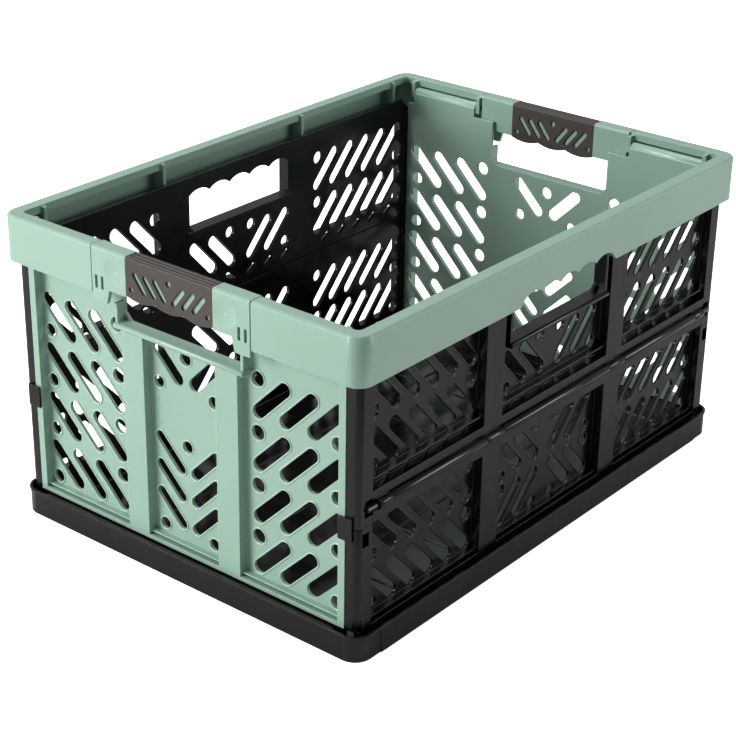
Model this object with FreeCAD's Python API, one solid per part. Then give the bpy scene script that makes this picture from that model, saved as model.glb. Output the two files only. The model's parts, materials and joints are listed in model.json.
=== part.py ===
import FreeCAD, Part
import math
import os

# Collapsible storage crate, open position. Millimetres, +Z up, origin at the bottom centre.
# X runs along the crate, Y across it. Every wall is drawn standing up as "local" (u, v, w):
# u to the right seen from outside, v up, w outward from the crate's centre, then turned into place.

# overall
LENGTH = 480.0
WIDTH = 345.0
HEIGHT = 250.0
CORNER = 12.0
INNER_CORNER = 4.0

# rim
SKIRT_DROP = 36.5
SKIRT_T = 2.5
RIM_TOP_W = 11.0
BRIDGE_HALF = 76.0
SCALLOP_HALF = 58.0
SCALLOP_Z = 218.0

# base tray
BASE_X = 238.5
BASE_Y = 171.8
BASE_H = 21.0
BASE_WALL = 2.2
FLOOR_X = 216.0
FLOOR_Y = 150.0
FLOOR_Z0 = 1.0
FLOOR_Z1 = 3.5
FLOOR_T = 1.6
GRID_NX = 6
GRID_NY = 4
GRID_RIB = 1.6

# long sides, two halves each
SIDE_OUT = 165.5
SIDE_WEB0 = 155.3
SIDE_WEB1 = 157.8
POST_U0 = 217.0
POST_U1 = 232.0
POST_W0 = 154.5
PILLAR_U = 80.0
PILLAR_HALF = 11.0
BAY_U = 153.0
SLOT_PITCH = 21.6
LOWER_ROWS = (84.5, 44.5)
UPPER_ROWS = (195.0, 154.0)
HAND_HALF = 60.0
HAND_Z0 = 185.0
HAND_RAIL_Z = 217.5
HAND_TOP = 216.0
RAIL_HALF = 216.0
RAIL_TOP = 232.0

# hinges
PIN_R = 2.0
BORE_R = 2.05
BARREL_R = 4.0
BASE_AXIS = (163.0, 12.0)
MID_AXIS = (166.0, 117.0)
RIM_AXIS = (163.0, 222.0)
LUG_U = (83.0, 208.0)
LUG_T = 3.0
MID_LOWER = ((-69.5, 69.5), (91.5, 198.5), (-198.5, -91.5))
MID_UPPER = ((70.0, 91.0), (-91.0, -70.0), (199.0, 213.0), (-213.0, -199.0))

# end panels
END_HALF = 154.0
END_WEB0 = 222.5
END_WEB1 = 225.0
END_OUT = 232.5
END_BOTTOM = 22.0
END_AXIS = (228.0, 238.0)
END_BARREL_R = 4.5
END_BARREL_U = (80.5, 147.5)
END_LUG_U = ((76.3, 80.0), (148.0, 151.7))
END_ROWS = (172.0, 130.5, 89.0, 47.5)
END_COLUMNS = (81.5, 106.5, 131.5)
END_HAND_HALF = 60.0
END_HAND_Z = 191.5

# carrying handle and its soft grip
GRIP_HALF = 42.0
GRIP_T = 1.5
GRIP_Z0 = 220.5
BRIDGE_Z0 = 219.0
BRIDGE_W0 = 226.5
BRIDGE_T = 3.0


def vec(x, y, z):
    return FreeCAD.Vector(x, y, z)


def box(x0, x1, y0, y1, z0, z1):
    return Part.makeBox(x1 - x0, y1 - y0, z1 - z0, vec(x0, y0, z0))


def both(u0, u1, v0, v1, w0, w1):
    """A block and its twin on the other side of the middle, in local axes."""
    return [box(u0, u1, v0, v1, w0, w1), box(-u1, -u0, v0, v1, w0, w1)]


def bar(u0, u1, axis, radius):
    """A round bar along u, at axis = (w, v)."""
    return Part.makeCylinder(radius, u1 - u0, vec(u0, axis[1], axis[0]), vec(1, 0, 0))


def join(shapes):
    """One clean solid from overlapping shapes."""
    return shapes[0].multiFuse(shapes[1:]).removeSplitter()


def bored(shape, axis, half):
    """Run a pin bore right through a local shape."""
    return shape.cut(bar(-half, half, axis, BORE_R))


def circle(u, v, radius, w=0.0):
    edge = Part.makeCircle(radius, vec(u, v, w), vec(0, 0, 1))
    return Part.Wire([edge])


def slot(u, v, overall, width, degrees):
    """A round-ended slot, its long axis turned from +u."""
    radius = width / 2.0
    half = overall / 2.0 - radius
    a = vec(-half, radius, 0)
    b = vec(half, radius, 0)
    c = vec(half, -radius, 0)
    d = vec(-half, -radius, 0)
    edges = [Part.makeLine(a, b)]
    edges.append(Part.Arc(b, vec(half + radius, 0, 0), c).toShape())
    edges.append(Part.makeLine(c, d))
    edges.append(Part.Arc(d, vec(-half - radius, 0, 0), a).toShape())
    wire = Part.Wire(edges)
    wire.rotate(vec(0, 0, 0), vec(0, 0, 1), degrees)
    wire.translate(vec(u, v, 0))
    return wire


def outline(points):
    ends = [vec(u, v, 0) for u, v in points]
    return Part.makePolygon(ends + [ends[0]])


def rectangle(hx, hy, radius):
    """A rounded rectangle centred on the origin."""
    flat = Part.makePlane(2 * hx, 2 * hy, vec(-hx, -hy, 0))
    prism = flat.extrude(vec(0, 0, 1))
    upright = [e for e in prism.Edges if abs(e.Vertexes[0].Z - e.Vertexes[-1].Z) > 0.5]
    rounded = prism.makeFillet(radius, upright)
    bottom = min(rounded.Faces, key=lambda face: face.CenterOfMass.z)
    return bottom.OuterWire


def slab(wire, holes, w0, w1):
    """A plate with through holes, drawn once and pulled up."""
    plate = Part.makeFace([wire] + holes, "Part::FaceMakerBullseye").extrude(vec(0, 0, w1 - w0))
    plate.translate(vec(0, 0, w0))
    return plate


def ring(hx, hy, radius, wall, z0, z1):
    """An upright ring wall of even thickness."""
    inner = rectangle(hx - wall, hy - wall, max(radius - wall, INNER_CORNER))
    return slab(rectangle(hx, hy, radius), [], z0, z1).cut(slab(inner, [], z0 - 1, z1 + 1))


def scallops(u0, u1, v, rise, count):
    """A row of shallow arcs along one edge."""
    step = (u1 - u0) / count
    arcs = []
    for i in range(count):
        start = vec(u0 + i * step, v, 0)
        crown = vec(u0 + (i + 0.5) * step, v + rise, 0)
        end = vec(u0 + (i + 1) * step, v, 0)
        arcs.append(Part.Arc(start, crown, end).toShape())
    return arcs


def stand(shape, degrees):
    """Turn a local wall upright, then round to its side of the crate."""
    placed = shape.copy()
    placed.rotate(vec(0, 0, 0), vec(1, 0, 0), 90)
    placed.rotate(vec(0, 0, 0), vec(0, 0, 1), degrees)
    return placed


def export(name, shape):
    shape.exportStep("parts/" + name + ".step")


# ---------------------------------------------------------------- base

def base_lugs():
    lugs = []
    for u in LUG_U:
        lugs += both(u - LUG_T / 2, u + LUG_T / 2, 2.0, 16.0, 159.0, BASE_Y - 1.0)
    return lugs


def base_tray():
    wall = ring(BASE_X - 0.8, BASE_Y - 0.8, CORNER + 2, BASE_WALL - 0.8, 0.0, BASE_H)
    lip = ring(BASE_X, BASE_Y, CORNER + 2.8, BASE_WALL, BASE_H - 2.0, BASE_H)
    foot = ring(BASE_X - 0.8, BASE_Y - 0.8, CORNER + 2, 4.0, 0.0, 2.0)
    outer = rectangle(BASE_X - 0.8, BASE_Y - 0.8, CORNER + 2)
    inner = Part.makePolygon([vec(-FLOOR_X, -FLOOR_Y, 0), vec(FLOOR_X, -FLOOR_Y, 0),
                              vec(FLOOR_X, FLOOR_Y, 0), vec(-FLOOR_X, FLOOR_Y, 0),
                              vec(-FLOOR_X, -FLOOR_Y, 0)])
    flange = slab(outer, [inner], 0.0, FLOOR_Z1)
    parts = [wall, lip, foot, flange]
    for sign in (-1, 1):
        face = sign * (BASE_Y - 0.4)
        parts.append(box(-212, 212, min(face - 0.4, face + 0.4), max(face - 0.4, face + 0.4), 0.0, BASE_H))
        sill0 = min(sign * 221.0, sign * 237.0)
        parts.append(box(sill0, sill0 + 16.0, -146, 146, 16.5, 20.5))
        web0 = min(sign * 219.0, sign * 221.5)
        parts.append(box(web0, web0 + 2.5, -146, 146, 3.0, 17.0))
        parts += [stand(lug, 90 - sign * 90) for lug in base_lugs()]
    tray = join(parts)
    for degrees in (0, 180):
        tray = tray.cut(stand(bar(-230, 230, BASE_AXIS, BORE_R), degrees))
    return tray


def floor_grid():
    """Smooth floor plate with a grid of low ribs."""
    half = GRID_RIB / 2.0
    top = FLOOR_Z0 + FLOOR_T
    parts = [box(-FLOOR_X, FLOOR_X, -FLOOR_Y, FLOOR_Y, FLOOR_Z0, top)]
    for i in range(GRID_NX + 1):
        x = (i / GRID_NX * 2.0 - 1.0) * (FLOOR_X - half)
        parts.append(box(x - half, x + half, -FLOOR_Y, FLOOR_Y, top - 0.3, FLOOR_Z1))
    for j in range(GRID_NY + 1):
        y = (j / GRID_NY * 2.0 - 1.0) * (FLOOR_Y - half)
        parts.append(box(-FLOOR_X, FLOOR_X, y - half, y + half, top - 0.3, FLOOR_Z1))
    return join(parts)


# ---------------------------------------------------------------- rim

def finger_notch():
    """Scalloped cut in the lower edge of a long skirt."""
    arcs = scallops(-SCALLOP_HALF, SCALLOP_HALF, SCALLOP_Z, 4.0, 5)
    left = vec(-SCALLOP_HALF - 5, 212.0, 0)
    right = vec(SCALLOP_HALF + 5, 212.0, 0)
    edges = arcs + [Part.makeLine(vec(SCALLOP_HALF, SCALLOP_Z, 0), right)]
    edges.append(Part.makeLine(right, left))
    edges.append(Part.makeLine(left, vec(-SCALLOP_HALF, SCALLOP_Z, 0)))
    return slab(Part.Wire(edges), [], 166.0, 176.0)


def rim_frame():
    hx = LENGTH / 2.0
    hy = WIDTH / 2.0
    skirt_z = HEIGHT - SKIRT_DROP
    skirt = ring(hx, hy, CORNER, SKIRT_T, skirt_z, HEIGHT)
    top = ring(hx, hy, CORNER, RIM_TOP_W, HEIGHT - 2.5, HEIGHT)
    lip = ring(hx - RIM_TOP_W + 2.0, hy - RIM_TOP_W + 2.0, INNER_CORNER + 2.0, 2.0, 243.5, HEIGHT - 1.0)
    shell = skirt.multiFuse([top, lip]).removeSplitter()
    outer_edges = []
    for edge in shell.Edges:
        b = edge.BoundBox
        if b.ZMin > HEIGHT - 0.1 and (b.XMax > hx - 13 or b.XMin < 13 - hx or b.YMax > hy - 13 or b.YMin < 13 - hy):
            if max(abs(b.XMin), abs(b.XMax)) > hx - 0.2 or max(abs(b.YMin), abs(b.YMax)) > hy - 0.2:
                outer_edges.append(edge)
    shell = shell.makeChamfer(1.6, outer_edges)
    for degrees in (0, 180):
        shell = shell.cut(stand(finger_notch(), degrees))
    for degrees in (90, -90):
        shell = shell.cut(stand(box(-BRIDGE_HALF - 0.8, BRIDGE_HALF + 0.8, 205, 252, 222, 242), degrees))
    parts = [shell]
    for degrees in (0, 180):
        for u in LUG_U:
            for lug in both(u - LUG_T / 2, u + LUG_T / 2, 218.0, 248.5, 159.0, 170.4):
                parts.append(stand(lug, degrees))
    for degrees in (90, -90):
        for u0, u1 in END_LUG_U:
            for lug in both(u0, u1, 233.5, 248.0, 224.0, 232.0):
                parts.append(stand(lug, degrees))
            for arm in both(u0, u1, 243.0, 249.0, 230.0, 238.5):
                parts.append(stand(arm, degrees))
        core = box(-80.0, 80.0, 233.5, 246.5, 231.5, 236.5)
        parts.append(stand(core, degrees))
        for tie in both(76.3, 80.0, 233.5, 249.0, 231.5, 238.5):
            parts.append(stand(tie, degrees))
    rim = join(parts)
    for degrees in (0, 180):
        rim = rim.cut(stand(bar(-230, 230, RIM_AXIS, BORE_R), degrees))
    for degrees in (90, -90):
        for u0, u1 in ((75.0, 152.5), (-152.5, -75.0)):
            rim = rim.cut(stand(bar(u0, u1, END_AXIS, BORE_R), degrees))
    return rim


# ---------------------------------------------------------------- long sides

def post(v0, v1):
    """Right-hand corner post with a rounded outer corner."""
    block = box(POST_U0, POST_U1, v0, v1, POST_W0, SIDE_OUT)
    corner = []
    for edge in block.Edges:
        b = edge.BoundBox
        if b.XMin > POST_U1 - 0.1 and b.ZMin > SIDE_OUT - 0.1:
            corner.append(edge)
    return block.makeFillet(5.0, corner)


def mirrored(shape):
    return shape.mirror(vec(0, 0, 0), vec(1, 0, 0))


def bay_holes(rows):
    """Slots leaning towards the middle, a round hole at two corners of each row."""
    holes = []
    for row in rows:
        for side in (-1, 1):
            for i in range(5):
                u = side * (BAY_U + (i - 2) * SLOT_PITCH)
                holes.append(slot(u, row, 44.0, 11.0, side * 47.0))
            holes.append(circle(side * 99.0, row + 12.5, 5.5))
            holes.append(circle(side * 207.5, row - 12.5, 5.5))
    return holes


def vent_row(v):
    """Small slanted openings along one level, one under each slot."""
    holes = []
    for side in (-1, 1):
        for i in range(5):
            holes.append(slot(side * (BAY_U + (i - 2) * SLOT_PITCH), v, 13.0, 5.0, side * 30.0))
        for u in (13.0, 34.5, 56.0):
            holes.append(slot(side * u, v, 13.0, 5.0, side * 30.0))
    return holes


def centre_holes(v, lean):
    """Two slots each side of the middle and the round holes beside them."""
    holes = []
    for side in (-1, 1):
        holes.append(slot(side * 22.8, v, 42.0, 10.5, side * lean * 47.0))
        holes.append(slot(side * 45.0, v, 42.0, 10.5, side * lean * 47.0))
        holes.append(circle(side * 13.0, v + lean * 14.0, 5.0))
        holes.append(circle(side * 55.5, v - lean * 14.0, 5.0))
    return holes


def barrels(axis, neck_v0, neck_v1, clear_half):
    """Hinge barrels between the lugs, each on a neck that reaches the web."""
    inner, outer = LUG_U
    gap = LUG_T / 2.0 + 0.5
    spans = []
    for u0, u1 in ((clear_half, inner - gap), (inner + gap, outer - gap), (outer + gap, 226.0)):
        spans += [(u0, u1), (-u1, -u0)]
    parts = []
    for u0, u1 in spans:
        parts.append(bar(u0, u1, axis, BARREL_R))
        parts.append(box(u0, u1, neck_v0, neck_v1, SIDE_WEB1 - 0.3, axis[0] - 1.0))
    return parts


def lower_panel():
    holes = bay_holes(LOWER_ROWS) + centre_holes(LOWER_ROWS[0] - 0.5, 1) + centre_holes(LOWER_ROWS[1], -1)
    edge = [(-220, 16), (220, 16), (220, 103.5), (216.5, 103.5), (216.5, 120.5),
            (-216.5, 120.5), (-216.5, 103.5), (-220, 103.5)]
    web = slab(outline(edge), holes, SIDE_WEB0, SIDE_WEB1)
    parts = [web, post(22.0, 103.5), mirrored(post(22.0, 103.5))]
    parts.append(box(-218, 218, 18.0, 23.5, SIDE_WEB1 - 0.3, SIDE_OUT))
    parts.append(box(-216.5, 216.5, 25.5, 27.0, SIDE_WEB1 - 0.3, 163.0))
    parts.append(box(-216.5, 216.5, 104.5, 112.7, SIDE_WEB1 - 0.3, SIDE_OUT))
    parts += both(POST_U0 - 1, POST_U1 - 6, 100.0, 103.5, POST_W0 + 1, SIDE_OUT - 1)
    parts += both(PILLAR_U - PILLAR_HALF, PILLAR_U + PILLAR_HALF, 18.0, 112.7, SIDE_WEB1 - 0.3, SIDE_OUT)
    for u0, u1 in MID_LOWER:
        parts.append(bar(u0, u1, MID_AXIS, BARREL_R))
        parts.append(box(u0, u1, 112.0, 117.0, 160.0, 165.0))
    parts += barrels(BASE_AXIS, 11.0, 18.5, 1.0)
    panel = join(parts)
    for window in both(220.5, 227.5, 88.0, 99.0, 150.0, 170.0):
        panel = panel.cut(window)
    return bored(bored(panel, MID_AXIS, 216.0), BASE_AXIS, 230.0)


def finger_rail():
    """Scalloped rail that closes the top of a hand opening, drawn as a solid of its own."""
    h = HAND_HALF - 0.05
    arcs = scallops(-h, h, HAND_TOP, 4.0, 5)
    points = [(h, HAND_TOP), (h, RAIL_TOP), (-h, RAIL_TOP), (-h, HAND_TOP)]
    edges = arcs + [Part.makeLine(vec(*a, 0), vec(*b, 0)) for a, b in zip(points, points[1:])]
    return slab(Part.Wire(edges), [], SIDE_WEB0, SIDE_WEB1)


def upper_panel():
    holes = bay_holes(UPPER_ROWS) + centre_holes(157.5, 1) + vent_row(132.0)
    h = HAND_HALF
    edge = [(-220, 121.5), (220, 121.5), (220, 220), (RAIL_HALF, 220), (RAIL_HALF, RAIL_TOP), (h, RAIL_TOP),
            (h, HAND_Z0 + 5), (h - 5, HAND_Z0), (5 - h, HAND_Z0), (-h, HAND_Z0 + 5), (-h, RAIL_TOP),
            (-RAIL_HALF, RAIL_TOP), (-RAIL_HALF, 220), (-220, 220)]
    web = slab(outline(edge), holes, SIDE_WEB0, SIDE_WEB1)
    tail = post(104.0, 221.0)
    parts = [web, tail, mirrored(tail)]
    parts.append(box(-218, 218, 121.5, 128.5, SIDE_WEB1 - 0.3, SIDE_OUT))
    parts.append(box(-216.5, 216.5, 135.5, 137.0, SIDE_WEB1 - 0.3, 163.5))
    parts += both(h, 216.5, 213.0, HAND_RAIL_Z, SIDE_WEB1 - 0.3, SIDE_OUT)
    parts.append(box(-63, 63, HAND_Z0 - 4.4, HAND_Z0, SIDE_WEB0 - 1.0, 166.0))
    parts.append(bar(-63, 63, (165.8, HAND_Z0 - 2.2), 2.2))
    parts += both(h, h + 3, HAND_Z0 - 4.5, HAND_RAIL_Z, SIDE_WEB0, SIDE_OUT)
    parts += both(PILLAR_U - PILLAR_HALF, PILLAR_U + PILLAR_HALF, 122.0, 217.5, SIDE_WEB1 - 0.3, SIDE_OUT)
    for u0, u1 in MID_UPPER:
        parts.append(bar(u0, u1, MID_AXIS, BARREL_R))
        parts.append(box(u0, u1, 117.0, 123.0, 161.0, 165.2))
    parts += barrels(RIM_AXIS, 214.5, 222.5, h + 1.0)
    panel = join(parts)
    for socket in both(216.9, 225.5, 110.5, 123.5, 160.5, 172.0):
        panel = panel.cut(socket)
    panel = bored(bored(panel, MID_AXIS, 216.9), RIM_AXIS, 230.0)
    return Part.makeCompound([panel, finger_rail()])


# ---------------------------------------------------------------- ends

def end_holes():
    holes = []
    for row in END_ROWS:
        for side in (-1, 1):
            for u in END_COLUMNS:
                holes.append(slot(side * u, row, 45.0, 11.5, side * 45.0))
            holes.append(circle(side * 69.0, row + 13.0, 6.0))
            holes.append(circle(side * 141.5, row - 13.0, 5.5))
    for side in (-1, 1):
        holes.append(slot(side * 19.0, 171.0, 41.0, 10.5, side * 45.0))
        holes.append(circle(side * 27.0, 152.5, 5.0))
        for v in (98.0, 75.0, 52.0):
            holes.append(slot(side * 17.5, v, 38.0, 9.5, side * 45.0))
        holes.append(circle(side * 25.0, 36.0, 5.0))
    holes.append(circle(0.0, 178.5, 5.5))
    holes.append(circle(0.0, 108.0, 5.0))
    return holes


def end_panel():
    """Green end panel in local axes, hung from barrels at its top."""
    h = END_HALF
    j = END_HAND_HALF
    n = END_BARREL_U[0]
    edge = [(-h, 22), (h, 22), (h, 228), (147.5, 228), (147.5, 238), (n, 238), (n, 230), (j, 230),
            (j, END_HAND_Z + 6), (j - 6, END_HAND_Z), (6 - j, END_HAND_Z), (-j, END_HAND_Z + 6),
            (-j, 230), (-n, 230), (-n, 238), (-147.5, 238), (-147.5, 228), (-h, 228)]
    web = slab(outline(edge), end_holes(), END_WEB0, END_WEB1)
    w0 = END_WEB1 - 0.3
    parts = [web, box(-h, h, 22.0, 25.0, w0, END_OUT), box(-h + 5, h - 5, 27.0, 28.2, w0, END_OUT - 2.5)]
    parts += both(h - 6, h, 22.0, 226.0, w0, END_OUT)
    parts += both(35.5, 56.5, 22.0, 188.0, w0, END_OUT)
    parts += both(n, 147.5, 226.0, 234.0, w0, END_OUT)
    parts.append(box(-j - 3, j + 3, END_HAND_Z - 5.0, END_HAND_Z, END_WEB0, END_OUT - 0.5))
    parts.append(bar(-j - 3, j + 3, (END_OUT - 0.5, END_HAND_Z - 2.5), 2.5))
    parts += both(j, j + 2.5, END_HAND_Z - 5.0, 206.5, END_WEB0, END_OUT)
    for u0, u1 in (END_BARREL_U, (-END_BARREL_U[1], -END_BARREL_U[0])):
        parts.append(bar(u0, u1, END_AXIS, END_BARREL_R))
    return bored(join(parts), END_AXIS, 150.0)


def bridge_profile(margin):
    """Front outline of the handle bridge, with a deeper tab at each end."""
    b = BRIDGE_HALF - margin
    points = [(-b, 208.0), (-62, 208.0), (-59, BRIDGE_Z0), (59, BRIDGE_Z0), (62, 208.0), (b, 208.0)]
    return outline(points + [(b, HEIGHT), (-b, HEIGHT)])


def bridge_slots():
    holes = []
    for side in (-1, 1):
        for u in (66.0, 72.0):
            holes.append(slot(side * u, 223.0, 10.5, 2.6, 90.0))
    return holes


def handle_bridge():
    out = LENGTH / 2.0
    front = slab(bridge_profile(0.0), bridge_slots(), out - BRIDGE_T, out)
    top = box(-BRIDGE_HALF, BRIDGE_HALF, HEIGHT - BRIDGE_T, HEIGHT, BRIDGE_W0, out)
    wall = outline([(-75, BRIDGE_Z0 + 2), (75, BRIDGE_Z0 + 2), (75, HEIGHT), (-75, HEIGHT)])
    back = slab(wall, bridge_slots(), BRIDGE_W0, BRIDGE_W0 + BRIDGE_T)
    beam = join([front, top, back])
    edges = []
    for edge in beam.Edges:
        b = edge.BoundBox
        if b.XMax - b.XMin > 140 and b.YMin > HEIGHT - 0.1:
            edges.append(edge)
    beam = beam.makeChamfer(1.4, edges)
    g = GRIP_HALF
    recess = [box(-g, g, 200, 260, out - GRIP_T, out + 1), box(-g, g, HEIGHT - GRIP_T, 260, 220, out + 1),
              box(-g, g, 200, 260, 220, BRIDGE_W0 + GRIP_T)]
    for side in (-1, 1):
        recess.append(Part.makeSphere(60.0, vec(side * 53.0, 234.0, out + 59.0)))
    for tool in recess:
        beam = beam.cut(tool)
    return beam


def grip_face(w0, w1):
    """One face of the grip: slots lean both ways from the middle, lower edge in three shallow waves."""
    g = GRIP_HALF
    arcs = scallops(-g, g, GRIP_Z0, -2.6, 3)
    top = HEIGHT - 1.35
    edges = arcs + [Part.makeLine(vec(g, GRIP_Z0, 0), vec(g, top, 0))]
    edges.append(Part.makeLine(vec(g, top, 0), vec(-g, top, 0)))
    edges.append(Part.makeLine(vec(-g, top, 0), vec(-g, GRIP_Z0, 0)))
    holes = [circle(0.0, 240.5, 2.4)]
    for side in (-1, 1):
        for i in range(3):
            holes.append(slot(side * (9.0 + 9.8 * i), 232.5, 18.5, 4.2, side * 52.0))
        holes.append(circle(side * 37.0, 226.0, 2.0))
    return slab(Part.Wire(edges), holes, w0, w1)


def grip():
    out = LENGTH / 2.0
    faces = [grip_face(out - GRIP_T, out), grip_face(BRIDGE_W0, BRIDGE_W0 + GRIP_T)]
    level = HEIGHT - 0.7
    top = box(-GRIP_HALF, GRIP_HALF, HEIGHT - GRIP_T, level, BRIDGE_W0, out)
    edges = []
    for edge in top.Edges:
        b = edge.BoundBox
        if b.XMax - b.XMin > 80 and b.YMin > level - 0.1:
            edges.append(edge)
    ridges = []
    for w in (229.2, 233.2, 237.2):
        ridges.append(bar(-GRIP_HALF, GRIP_HALF, (w, HEIGHT - 0.7), 0.7))
    return join([top.makeChamfer(0.6, edges)] + ridges + faces)


def corner_catches():
    """Two clips on the lower posts that close over an end panel's side edges."""
    clips = []
    for side in (-1, 1):
        tab = box(148.8, 161.0, 94.0, 111.5, POST_U1 + 0.6, POST_U1 + 2.2)
        stem = box(155.5, 160.0, 95.0, 102.5, POST_U1, POST_U1 + 1.0)
        clip = tab.fuse(stem).removeSplitter()
        clips.append(clip if side > 0 else mirrored(clip))
    return Part.makeCompound(clips)


def end_pins():
    pins = [bar(76.6, 151.4, END_AXIS, PIN_R), bar(-151.4, -76.6, END_AXIS, PIN_R)]
    return Part.makeCompound(pins)


def main():
    os.makedirs("parts", exist_ok=True)
    export("base_tray", base_tray())
    export("floor_grid", floor_grid())
    export("rim_frame", rim_frame())
    long_side = {
        "lower_panel": lower_panel(),
        "upper_panel": upper_panel(),
        "base_hinge_pin": bar(-226.0, 226.0, BASE_AXIS, PIN_R),
        "mid_hinge_rod": bar(-224.0, 224.0, MID_AXIS, PIN_R),
        "rim_hinge_pin": bar(-226.0, 226.0, RIM_AXIS, PIN_R),
    }
    for name, shape in long_side.items():
        export(name + "_front", stand(shape, 0))
        export(name + "_back", stand(shape, 180))
    short_side = {
        "end_panel": end_panel(),
        "end_hinge_pins": end_pins(),
        "handle_bridge": handle_bridge(),
        "handle_grip": grip(),
        "corner_catches": corner_catches(),
    }
    for name, shape in short_side.items():
        export(name + "_left", stand(shape, -90))
        export(name + "_right", stand(shape, 90))


main()
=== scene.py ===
import json
import math

import bmesh
import bpy
from mathutils import Matrix, Vector


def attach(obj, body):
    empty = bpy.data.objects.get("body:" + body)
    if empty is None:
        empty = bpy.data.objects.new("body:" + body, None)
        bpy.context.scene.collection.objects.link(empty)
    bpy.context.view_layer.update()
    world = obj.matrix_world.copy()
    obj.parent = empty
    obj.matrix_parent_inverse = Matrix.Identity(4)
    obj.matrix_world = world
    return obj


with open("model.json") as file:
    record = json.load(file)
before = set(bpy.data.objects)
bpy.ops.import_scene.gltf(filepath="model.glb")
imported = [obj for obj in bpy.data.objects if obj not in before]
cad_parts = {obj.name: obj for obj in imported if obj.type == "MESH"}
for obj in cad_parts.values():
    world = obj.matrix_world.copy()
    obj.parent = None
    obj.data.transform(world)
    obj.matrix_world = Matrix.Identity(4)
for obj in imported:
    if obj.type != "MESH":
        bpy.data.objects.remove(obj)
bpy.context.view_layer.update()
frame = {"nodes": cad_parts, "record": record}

MM = 0.001
MERGE = 0.01 * MM

# Camera, in metres and degrees, in the crate's frame.
CAMERA_AT = (-1.0995, -0.8732, 0.7603)
CAMERA_AZIMUTH = -51.035
CAMERA_ELEVATION = 25.511
CAMERA_ROLL = 0.903
CAMERA_LENS = 94.13

GREEN_NODES = ("rim_frame", "end_panel_left", "end_panel_right", "handle_bridge_left", "handle_bridge_right")
GRIP_NODES = ("handle_grip_left", "handle_grip_right")
ROD_NODES = ("base_hinge_pin_front", "base_hinge_pin_back", "mid_hinge_rod_front", "mid_hinge_rod_back",
             "rim_hinge_pin_front", "rim_hinge_pin_back", "end_hinge_pins_left", "end_hinge_pins_right")
NO_BEVEL = ROD_NODES + GRIP_NODES + ("floor_grid", "handle_bridge_left", "handle_bridge_right")


def body_of_node(name):
    """The CAD body a node belongs to."""
    for body, nodes in frame["record"]["behaviour"]["bodies"].items():
        if name in nodes:
            return body
    raise ValueError(name)


# ---------------------------------------------------------------- materials

class Graph:
    """A short way to place and wire shader nodes."""

    def __init__(self, name):
        self.material = bpy.data.materials.new(name)
        self.material.use_nodes = True
        self.tree = self.material.node_tree
        self.tree.nodes.clear()

    def add(self, kind, **settings):
        node = self.tree.nodes.new(kind)
        for key, value in settings.items():
            setattr(node, key, value)
        return node

    def link(self, source, target):
        self.tree.links.new(source, target)

    def noise(self, coords, scale, detail):
        node = self.add("ShaderNodeTexNoise")
        node.inputs["Scale"].default_value = scale
        node.inputs["Detail"].default_value = detail
        self.link(coords, node.inputs["Vector"])
        return node.outputs["Fac"]

    def span(self, value, from0, from1, to0, to1):
        node = self.add("ShaderNodeMapRange")
        for socket, number in zip(("From Min", "From Max", "To Min", "To Max"), (from0, from1, to0, to1)):
            node.inputs[socket].default_value = number
        self.link(value, node.inputs["Value"])
        return node.outputs["Result"]

    def mix(self, factor, a, b):
        """Mixes two colours, each a socket or an (r, g, b)."""
        node = self.add("ShaderNodeMix", data_type="RGBA")
        self.link(factor, node.inputs["Factor"])
        for index, colour in ((6, a), (7, b)):
            if isinstance(colour, tuple):
                node.inputs[index].default_value = colour + (1.0,)
            else:
                self.link(colour, node.inputs[index])
        return node.outputs[2]


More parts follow.
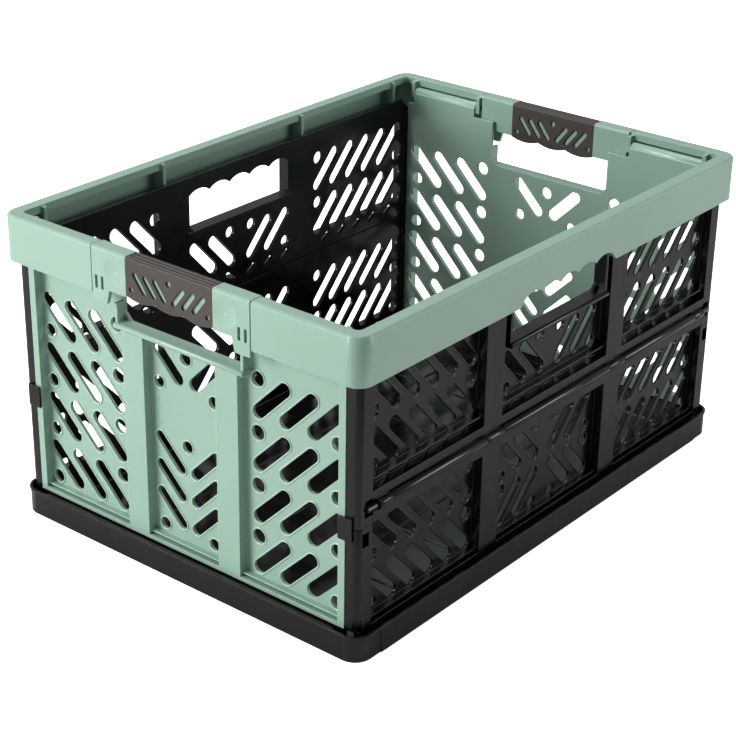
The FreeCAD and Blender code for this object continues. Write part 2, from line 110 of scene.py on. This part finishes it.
def moulded(name, colour, tint, edge, roughness, grain, grain_scale, coat, edge_highlight_strength, specular, wave=0.1):
    """Injection-moulded plastic: faint flow mottling, soft waves, fine grain, and the edge colour mixed in
    along the edges as a painted highlight.
    """
    g = Graph(name)
    coords = g.add("ShaderNodeTexCoord").outputs["Object"]
    flow = g.noise(coords, 9.0, 3.0)
    fine = g.noise(coords, grain_scale, 2.0)
    scuff_and_highlight_noise = g.noise(coords, 70.0, 4.0)
    base = g.mix(g.span(flow, 0.35, 0.65, 0.0, 1.0), colour, tint)

    rounded = g.add("ShaderNodeBevel", samples=6)
    rounded.inputs["Radius"].default_value = 0.0007
    # Painted highlight: where the Bevel normal turns away from the true normal, at sharp edges and slot
    # outlines, the lighter edge colour is mixed in and broken up by scuff noise.
    geometry = g.add("ShaderNodeNewGeometry")
    dot = g.add("ShaderNodeVectorMath", operation="DOT_PRODUCT")
    g.link(rounded.outputs["Normal"], dot.inputs[0])
    g.link(geometry.outputs["Normal"], dot.inputs[1])
    rim = g.span(dot.outputs["Value"], 0.995, 0.86, 0.0, edge_highlight_strength)
    painted_edge_highlight = g.add("ShaderNodeMath", operation="MULTIPLY")
    g.link(rim, painted_edge_highlight.inputs[0])
    g.link(g.span(scuff_and_highlight_noise, 0.3, 0.7, 0.65, 1.0), painted_edge_highlight.inputs[1])
    shown = g.mix(painted_edge_highlight.outputs["Value"], base, edge)

    waves = g.add("ShaderNodeBump")
    waves.inputs["Strength"].default_value = wave
    waves.inputs["Distance"].default_value = 0.002
    g.link(g.noise(coords, 26.0, 2.0), waves.inputs["Height"])
    g.link(rounded.outputs["Normal"], waves.inputs["Normal"])
    bump = g.add("ShaderNodeBump")
    bump.inputs["Strength"].default_value = grain
    bump.inputs["Distance"].default_value = 0.0004
    g.link(fine, bump.inputs["Height"])
    g.link(waves.outputs["Normal"], bump.inputs["Normal"])

    shader = g.add("ShaderNodeBsdfPrincipled")
    g.link(shown, shader.inputs["Base Color"])
    g.link(g.span(scuff_and_highlight_noise, 0.3, 0.7, roughness - 0.05, roughness + 0.06), shader.inputs["Roughness"])
    g.link(bump.outputs["Normal"], shader.inputs["Normal"])
    shader.inputs["IOR"].default_value = 1.49
    shader.inputs["Specular IOR Level"].default_value = specular
    shader.inputs["Coat Weight"].default_value = coat
    shader.inputs["Coat Roughness"].default_value = 0.18
    out = g.add("ShaderNodeOutputMaterial")
    g.link(shader.outputs["BSDF"], out.inputs["Surface"])
    return g.material


# The fourth colour given to each material is its painted edge highlight, the lighter colour mixed in along
# its edges.
BLACK_BASE = (0.0045, 0.0040, 0.0040)
BLACK_TINT = (0.0065, 0.0058, 0.0056)
BLACK_EDGE_HIGHLIGHT = (0.050, 0.047, 0.045)
GREEN = moulded("green_plastic", (0.286, 0.424, 0.344), (0.304, 0.446, 0.363), (0.58, 0.73, 0.66),
                roughness=0.34, grain=0.08, grain_scale=900.0, coat=0.25, edge_highlight_strength=0.85, specular=0.5)
BLACK = moulded("black_plastic", BLACK_BASE, BLACK_TINT, BLACK_EDGE_HIGHLIGHT,
                roughness=0.20, grain=0.06, grain_scale=900.0, coat=0.0, edge_highlight_strength=0.8, specular=0.38,
                wave=0.5)
BLACK_FLOOR = moulded("black_floor", BLACK_BASE, BLACK_TINT, BLACK_EDGE_HIGHLIGHT,
                      roughness=0.11, grain=0.03, grain_scale=900.0, coat=0.0, edge_highlight_strength=0.8,
                      specular=0.9, wave=0.06)
# Bead colours are lighter than their panels: a painted highlight of light catching each bead.
GREEN_BEAD_HIGHLIGHT = moulded("green_bead_highlight", (0.40, 0.55, 0.47), (0.44, 0.59, 0.51), (0.66, 0.78, 0.72),
                     roughness=0.28, grain=0.05, grain_scale=900.0, coat=0.2, edge_highlight_strength=0.6, specular=0.6)
BLACK_BEAD_HIGHLIGHT = moulded("black_bead_highlight", (0.016, 0.015, 0.0145), (0.021, 0.0195, 0.019), (0.08, 0.076, 0.073),
                     roughness=0.24, grain=0.05, grain_scale=900.0, coat=0.2, edge_highlight_strength=0.6, specular=0.6)
GRIP = moulded("soft_grip", (0.050, 0.041, 0.037), (0.064, 0.053, 0.047), (0.17, 0.15, 0.14),
               roughness=0.42, grain=0.30, grain_scale=1600.0, coat=0.0, edge_highlight_strength=0.5, specular=0.5)
ROD = moulded("hinge_rod", (0.018, 0.017, 0.017), (0.028, 0.026, 0.026), (0.09, 0.085, 0.08),
              roughness=0.22, grain=0.06, grain_scale=700.0, coat=0.3, edge_highlight_strength=0.4, specular=0.5)


def node_material(name):
    if name in GREEN_NODES:
        return GREEN
    if name in GRIP_NODES:
        return GRIP
    if name in ROD_NODES:
        return ROD
    if name == "floor_grid":
        return BLACK_FLOOR
    return BLACK


# ---------------------------------------------------------------- CAD nodes

EDGE_RADIUS = 0.3 * MM


def dress(name, obj):
    """Gives a CAD node its material and softly rounded edges."""
    material = node_material(name)
    for slot in obj.material_slots:
        slot.material = material
    if name in NO_BEVEL:
        return
    weld = obj.modifiers.new("weld", "WELD")
    weld.merge_threshold = MERGE
    bevel = obj.modifiers.new("edge_radius", "BEVEL")
    bevel.width = EDGE_RADIUS
    bevel.segments = 2
    bevel.limit_method = "ANGLE"
    bevel.angle_limit = math.radians(50)
    bevel.use_clamp_overlap = True
    bevel.harden_normals = True


for node_name, node_object in frame["nodes"].items():
    dress(node_name, node_object)


# ---------------------------------------------------------------- beads round the slots

LEVEL_SLACK = 0.05 * MM
SLOT_SMALLEST = 6.0 * MM
SLOT_LONGEST = 50.0 * MM
LONG_WEB = 157.8 * MM
END_WEB = 225.0 * MM
LONG_BEAD = 0.6 * MM
END_BEAD = 0.75 * MM


def hole_loops(obj, axis, level):
    """Closed edge loops of the slots where they meet the flat face that looks along axis at level."""
    work = bmesh.new()
    work.from_mesh(obj.data)
    bmesh.ops.remove_doubles(work, verts=work.verts, dist=MERGE)
    work.normal_update()
    links = {}
    for edge in work.edges:
        if len(edge.link_faces) != 2:
            continue
        if any(abs(v.co.dot(axis) - level) > LEVEL_SLACK for v in edge.verts):
            continue
        flat = sorted(abs(f.normal.dot(axis)) for f in edge.link_faces)
        if flat[1] > 0.99 and flat[0] < 0.1:
            a, b = edge.verts
            links.setdefault(a.index, []).append(b.index)
            links.setdefault(b.index, []).append(a.index)
    work.verts.ensure_lookup_table()
    loops = []
    seen = set()
    for start in sorted(links):
        if start in seen or len(links[start]) != 2:
            continue
        loop = [start]
        seen.add(start)
        step = links[start][0]
        while step not in seen and len(links.get(step, ())) == 2:
            loop.append(step)
            seen.add(step)
            ahead = [n for n in links[step] if n not in seen]
            if not ahead:
                break
            step = ahead[0]
        points = [work.verts[i].co.copy() for i in loop]
        low = [min(p[k] for p in points) for k in range(3)]
        high = [max(p[k] for p in points) for k in range(3)]
        longest = max(high[k] - low[k] for k in range(3))
        closed = loop[0] in links[loop[-1]]
        if closed and len(points) >= 8 and SLOT_SMALLEST < longest < SLOT_LONGEST:
            loops.append(points)
    work.free()
    return loops


def bead_piece(name, node, axis, level, radius):
    """A fine raised bead round every slot of a panel's outer face, coloured lighter than the panel as a
    painted highlight.
    """
    curve = bpy.data.curves.new(name, "CURVE")
    curve.dimensions = "3D"
    curve.bevel_depth = radius
    curve.bevel_resolution = 1
    for points in hole_loops(frame["nodes"][node], axis, level):
        centre = sum(points, Vector()) / len(points)
        spline = curve.splines.new("POLY")
        spline.points.add(len(points) - 1)
        for knot, point in zip(spline.points, points):
            away = (point - centre).normalized()
            at = point + away * radius * 0.6
            knot.co = (at.x, at.y, at.z, 1.0)
        spline.use_cyclic_u = True
    piece = bpy.data.objects.new(name, curve)
    bpy.context.scene.collection.objects.link(piece)
    curve.materials.append(GREEN_BEAD_HIGHLIGHT if node in GREEN_NODES else BLACK_BEAD_HIGHLIGHT)
    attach(piece, body_of_node(node))
    return piece


for panel in ("lower_panel", "upper_panel"):
    bead_piece(panel + "_front_beads", panel + "_front", Vector((0, -1, 0)), LONG_WEB, LONG_BEAD)
    bead_piece(panel + "_back_beads", panel + "_back", Vector((0, 1, 0)), LONG_WEB, LONG_BEAD)
bead_piece("end_panel_left_beads", "end_panel_left", Vector((-1, 0, 0)), END_WEB, END_BEAD)
bead_piece("end_panel_right_beads", "end_panel_right", Vector((1, 0, 0)), END_WEB, END_BEAD)


# ---------------------------------------------------------------- studio

# Backdrop brightness as the camera sees it, as a fill light, and in reflections.
WORLD_SEEN = 1.1
WORLD_FILL = 0.13
WORLD_GLOSS = 0.55
# Glow of the paper as the camera sees it and as a light; none under the crate's foot, which paints the
# crate's shadow there.
PAPER_SEEN = 0.80
PAPER_LIGHT = 0.04
FOOT = (("X", 0.232), ("Y", 0.165))
FOOT_BLEND = 0.02
# name, place, target, width, height, power
LIGHTS = (
    ("softbox_left", (-1.7, 1.1, 0.85), (0, 0, 0.15), 1.1, 1.0, 43),
    ("softbox_front", (1.3, -1.7, 0.75), (0, 0, 0.12), 1.2, 0.8, 20),
    ("overhead", (0.0, 0.2, 2.0), (0, 0, 0), 1.6, 1.2, 25),
)


def studio_floor():
    """White paper that glows a little, so that it stays white in the picture."""
    mesh = bpy.data.meshes.new("floor")
    size = 6.0
    corners = [(-size, -size, 0), (size, -size, 0), (size, size, 0), (-size, size, 0)]
    mesh.from_pydata(corners, [], [(0, 1, 2, 3)])
    floor = bpy.data.objects.new("floor", mesh)
    bpy.context.scene.collection.objects.link(floor)
    floor.location.z = -0.0002
    g = Graph("floor_paper")
    coords = g.add("ShaderNodeTexCoord").outputs["Object"]
    tone = g.mix(g.noise(coords, 1.5, 2.0), (0.93, 0.93, 0.925), (0.96, 0.96, 0.955))
    shader = g.add("ShaderNodeBsdfPrincipled")
    shader.inputs["Roughness"].default_value = 0.9
    shader.inputs["Emission Color"].default_value = (1.0, 1.0, 1.0, 1.0)
    path = g.add("ShaderNodeLightPath")
    apart = g.add("ShaderNodeSeparateXYZ")
    g.link(coords, apart.inputs["Vector"])
    # Painted shadow: the glow is cut out in a box under the crate's foot, with a soft edge.
    clear = []
    for axis, half in FOOT:
        reach = g.add("ShaderNodeMath", operation="ABSOLUTE")
        g.link(apart.outputs[axis], reach.inputs[0])
        clear.append(g.span(reach.outputs["Value"], half - FOOT_BLEND, half, 0.0, 1.0))
    outside = g.add("ShaderNodeMath", operation="MAXIMUM")
    g.link(clear[0], outside.inputs[0])
    g.link(clear[1], outside.inputs[1])
    glow = g.add("ShaderNodeMath", operation="MULTIPLY")
    g.link(g.span(path.outputs["Is Camera Ray"], 0.0, 1.0, PAPER_LIGHT, PAPER_SEEN), glow.inputs[0])
    g.link(outside.outputs["Value"], glow.inputs[1])
    g.link(glow.outputs["Value"], shader.inputs["Emission Strength"])
    g.link(tone, shader.inputs["Base Color"])
    out = g.add("ShaderNodeOutputMaterial")
    g.link(shader.outputs["BSDF"], out.inputs["Surface"])
    mesh.materials.append(g.material)


def area_light(name, at, target, size_x, size_y, power):
    data = bpy.data.lights.new(name, "AREA")
    data.shape = "RECTANGLE"
    data.size = size_x
    data.size_y = size_y
    data.energy = power
    lamp = bpy.data.objects.new(name, data)
    lamp.location = at
    lamp.rotation_mode = "QUATERNION"
    lamp.rotation_quaternion = (Vector(target) - Vector(at)).to_track_quat("-Z", "Y")
    bpy.context.scene.collection.objects.link(lamp)


def world_light():
    """A white backdrop that lights the crate more softly than it looks."""
    world = bpy.data.worlds.new("studio")
    world.use_nodes = True
    tree = world.node_tree
    tree.nodes.clear()
    seen = tree.nodes.new("ShaderNodeBackground")
    seen.inputs["Color"].default_value = (1.0, 1.0, 1.0, 1.0)
    seen.inputs["Strength"].default_value = WORLD_SEEN
    fill = tree.nodes.new("ShaderNodeBackground")
    fill.inputs["Color"].default_value = (0.97, 0.985, 1.0, 1.0)
    path = tree.nodes.new("ShaderNodeLightPath")
    level = tree.nodes.new("ShaderNodeMapRange")
    level.inputs["To Min"].default_value = WORLD_FILL
    level.inputs["To Max"].default_value = WORLD_GLOSS
    tree.links.new(path.outputs["Is Glossy Ray"], level.inputs["Value"])
    tree.links.new(level.outputs["Result"], fill.inputs["Strength"])
    choose = tree.nodes.new("ShaderNodeMixShader")
    out = tree.nodes.new("ShaderNodeOutputWorld")
    tree.links.new(path.outputs["Is Camera Ray"], choose.inputs["Fac"])
    tree.links.new(fill.outputs["Background"], choose.inputs[1])
    tree.links.new(seen.outputs["Background"], choose.inputs[2])
    tree.links.new(choose.outputs["Shader"], out.inputs["Surface"])
    bpy.context.scene.world = world


def studio():
    studio_floor()
    world_light()
    for light in LIGHTS:
        area_light(*light)
    bpy.context.scene.view_settings.view_transform = "Standard"
    bpy.context.scene.view_settings.gamma = 0.86


def camera():
    data = bpy.data.cameras.new("camera")
    data.sensor_width = 36.0
    data.lens = CAMERA_LENS
    data.dof.use_dof = False
    cam = bpy.data.objects.new("camera", data)
    a = math.radians(CAMERA_AZIMUTH)
    e = math.radians(CAMERA_ELEVATION)
    back = Vector((math.sin(a) * math.cos(e), -math.cos(a) * math.cos(e), math.sin(e)))
    level = back.to_track_quat("Z", "Y").to_matrix().to_4x4()
    roll = Matrix.Rotation(math.radians(CAMERA_ROLL), 4, "Z")
    cam.matrix_world = Matrix.Translation(CAMERA_AT) @ level @ roll
    bpy.context.scene.collection.objects.link(cam)
    bpy.context.scene.camera = cam


studio()
camera()
